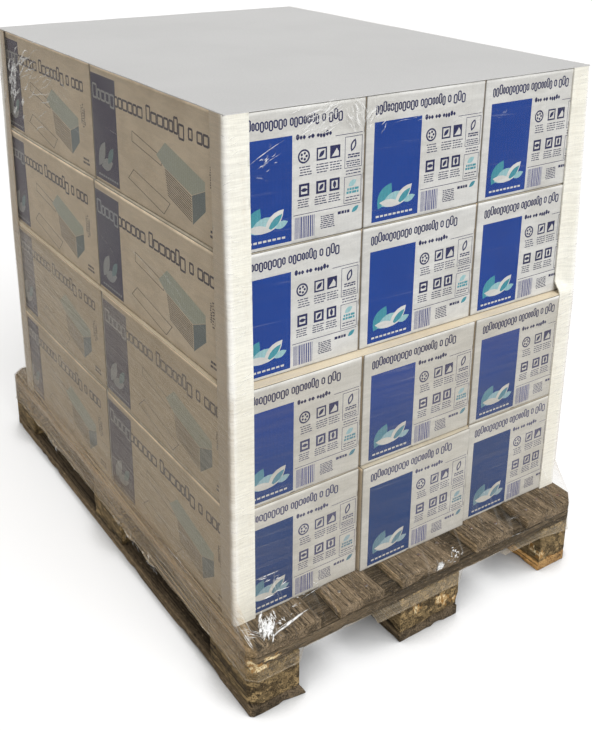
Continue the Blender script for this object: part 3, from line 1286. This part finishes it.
class Creases:
    """Ribbons of film: ridges that lie on the wrap, and strands torn from its hem."""

    def __init__(self, surface):
        self.surface = surface
        self.random = random.Random(23)
        self.work = bmesh.new()
        self.layer = float_layers(self.work, "ridge")[0]

    def ridge(self, middle, direction, length, width, bend=0.16):
        """A narrow ridge, tapered at both ends."""
        steps = max(int(length / (4 * MM)), 4)
        bow = self.random.uniform(-bend, bend) * length
        centre, normal, _, _ = self.surface.find_nearest(middle)
        direction = (direction - normal * direction.dot(normal)).normalized()
        side = normal.cross(direction)
        lines = []
        for step in range(steps + 1):
            t = step / steps
            taper = math.sin(math.pi * t)
            spot = centre + direction * (t - 0.5) * length + side * bow * taper
            stray = wander(t * 9, middle.x * 90, middle.z * 90)
            spot += side * width * min(0.8, 5 * bend) * stray
            place, out, _, _ = self.surface.find_nearest(spot)
            if out.dot(place - Vector((0, 0, place.z))) < 0:
                out = -out
            half = width / 2 * taper ** 0.7 * (0.6 + 0.8 * abs(wander(t * 13, middle.y * 70)))
            foot = place + out * 0.4 * MM
            crest = place + out * (0.4 * MM + half * 0.7)
            edges = (foot - side * half, crest, foot + side * half)
            lines.append([self.work.verts.new(edge) for edge in edges])
            for vert, share in zip(lines[-1], (0.35, 0.95, 0.35)):
                vert[self.layer] = taper ** 0.5 * share
        bridge(self.work, lines, ring=False)

    def shred(self, spot, length, steps=6):
        """A torn strand that hangs from the hem and curls."""
        chance = self.random
        lean = chance.uniform(-1.0, 1.0)
        lines = []
        for step in range(steps + 1):
            half = chance.uniform(0.7, 1.7) * MM * (1 - 0.6 * step / steps)
            across = Vector((0, half, -half * 0.4))
            lines.append([self.work.verts.new(spot - across), self.work.verts.new(spot + across)])
            for vert in lines[-1]:
                vert[self.layer] = chance.uniform(0.45, 0.95)
            lean = min(max(lean + chance.uniform(-0.9, 0.9), -1.6), 1.6)
            spot = spot + Vector((chance.uniform(-0.2, 0.3), lean, -1.0)) * length / steps
        bridge(self.work, lines, ring=False)


def make_creases(surface):
    creases = Creases(surface)
    chance = creases.random
    for middle, reach, direction, turn, length, width, count in CREASE_GROUPS:
        for _ in range(count):
            offset = Vector([chance.gauss(0, reach * 0.5) for _ in range(3)])
            turned = Vector(direction) + Vector([chance.uniform(-turn, turn) for _ in range(3)])
            size = chance.uniform(0.55, 1.2) * length
            wide = chance.uniform(0.5, 1.2) * width
            creases.ridge(Vector(middle) + offset, turned.normalized(), size, wide)
    for start, end, width in LONG_CREASES:
        start, end = Vector(start), Vector(end)
        along = end - start
        creases.ridge((start + end) / 2, along.normalized(), along.length, width, 0.03)
    # Torn strands along the near left side
    for place, reach, drop in TATTERS:
        for _ in range(int(1.5 * drop / MM)):
            y = chance.gauss(place, reach * 0.6)
            start = Vector((-0.4012, y, FILM_HEM + side_hem(y) + chance.uniform(-1, 5) * MM))
            creases.shred(start, chance.uniform(0.7, 2.0) * drop + 3 * MM)
    # Fine creases across the upright corners
    for x, y in ((-0.392, -0.532), (0.396, -0.532), (-0.392, 0.500), (0.398, 0.500)):
        side = math.copysign(1, x)
        for _ in range(80):
            middle = Vector((x - chance.uniform(-0.004, 0.03) * side, y, chance.uniform(0.2, 1.03)))
            turned = Vector((side, 0.0, chance.uniform(-0.35, 0.35))).normalized()
            length, width = chance.uniform(0.014, 0.034), chance.uniform(0.6, 1.1) * MM
            creases.ridge(middle, turned, length, width)
    make_piece("film_creases", creases.work, [crease_finish()], "film")


def make_hem(path, lengths):
    """The film's lower edge, drawn together into a thin uneven cord."""
    work = bmesh.new()
    wrap_layer = work.verts.layers.float_vector.new("wrap")
    crumple_layer, haze_layer, slope_layer = float_layers(work, "crumple", "haze", "slope")
    rings = []
    for i, (place, around) in enumerate(zip(path, lengths)):
        tangent = (path[(i + 1) % len(path)] - path[i - 1]).normalized()
        outward = Vector((tangent.y, -tangent.x, 0)).normalized()
        up = tangent.cross(outward)
        radius = (1.5 + 1.1 * wander(around * 22, 8.0) + 0.5 * wander(around * 90, 2.0)) * MM
        radius = max(radius, 0.7 * MM) * (1 - 0.45 * smooth(place.z, 0.08, 0.10))
        tatter = 0.0
        if abs(place.y) < 0.55 and place.x < 0:
            tatter = max(bell(place.y - spot, 1.5 * reach) for spot, reach, _ in TATTERS)
        ring = []
        for k in range(HEM_SIDES):
            turn = 2 * math.pi * k / HEM_SIDES + around * 60
            lobe = 1 + 0.35 * math.cos(2 * turn)
            spoke = (outward * math.cos(turn) + up * math.sin(turn)) * radius * lobe
            vert = work.verts.new(place + spoke + outward * 0.6 * MM)
            vert[wrap_layer] = (around, turn * 0.01, 0)
            vert[crumple_layer] = 0.15 + 0.75 * tatter
            vert[haze_layer] = 0.16 + 0.40 * tatter
            vert[slope_layer] = 0.6
            ring.append(vert)
        rings.append(ring)
    bridge(work, rings + rings[:1])
    bmesh.ops.recalc_face_normals(work, faces=work.faces)
    make_piece("film_hem", work, [film_finish("film_hem")], "film")


# Studio

FLOOR_REACH = 30.0
FLOOR_GREY = (0.55, 0.55, 0.55, 1.0)
WHITE = (1.0, 1.0, 1.0, 1.0)
SKY_COLOUR = (1.0, 0.955, 0.885, 1.0)
SKY_STRENGTH = 0.36
SUN_COLOUR = (0.97, 0.985, 1.0)
SUN_STRENGTH = 2.8
SUN_ANGLE = math.radians(50)
SUN_DIRECTION = (0.02, 0.72, -0.69)


def set_studio():
    """A plain pale floor that glows white outside the shadow, an even sky and one soft lamp."""
    mesh = bpy.data.meshes.new("floor")
    corners = ((-1, -1, 0), (1, -1, 0), (1, 1, 0), (-1, 1, 0))
    mesh.from_pydata([times(FLOOR_REACH, corner) for corner in corners], [], [(0, 1, 2, 3)])
    floor = bpy.data.objects.new("floor", mesh)
    bpy.context.scene.collection.objects.link(floor)
    finish = Finish("floor_paper", 0.0)
    open_sky = finish.add("AmbientOcclusion", {"Distance": 0.128}, "AO", samples=12)
    glow = finish.background_rays() * finish.rise(open_sky, 0.43, 0.72, 0.0, 0.56)
    look = {"Base Color": FLOOR_GREY, "Roughness": 0.9}
    look |= {"Emission Color": WHITE, "Emission Strength": glow}
    finish.feed(finish.shader, look)
    mesh.materials.append(finish.material)
    world = bpy.data.worlds.new("sky")
    bpy.context.scene.world = world
    world.use_nodes = True
    sky = Tree(world.node_tree)
    ambient = sky.nodes["Background"]
    sky.feed(ambient, {"Color": SKY_COLOUR, "Strength": SKY_STRENGTH})
    white = sky.add("Background", {"Color": WHITE, "Strength": 1.0})
    shaders = {0: sky.background_rays(), 1: Value(sky, ambient.outputs[0]), 2: white}
    sky.feed(sky.nodes["World Output"], {"Surface": sky.add("MixShader", shaders)})
    sun = bpy.data.lights.new("soft_sun", "SUN")
    sun.energy = SUN_STRENGTH
    sun.angle = SUN_ANGLE
    sun.color = SUN_COLOUR
    lamp = bpy.data.objects.new("soft_sun", sun)
    lamp.rotation_euler = Vector(SUN_DIRECTION).to_track_quat("-Z", "Y").to_euler()
    bpy.context.scene.collection.objects.link(lamp)


set_camera()
set_studio()
make_cartons()
make_sheets()
make_pallet()
make_corner_boards()
make_film()

bpy.context.scene.view_settings.view_transform = "Standard"
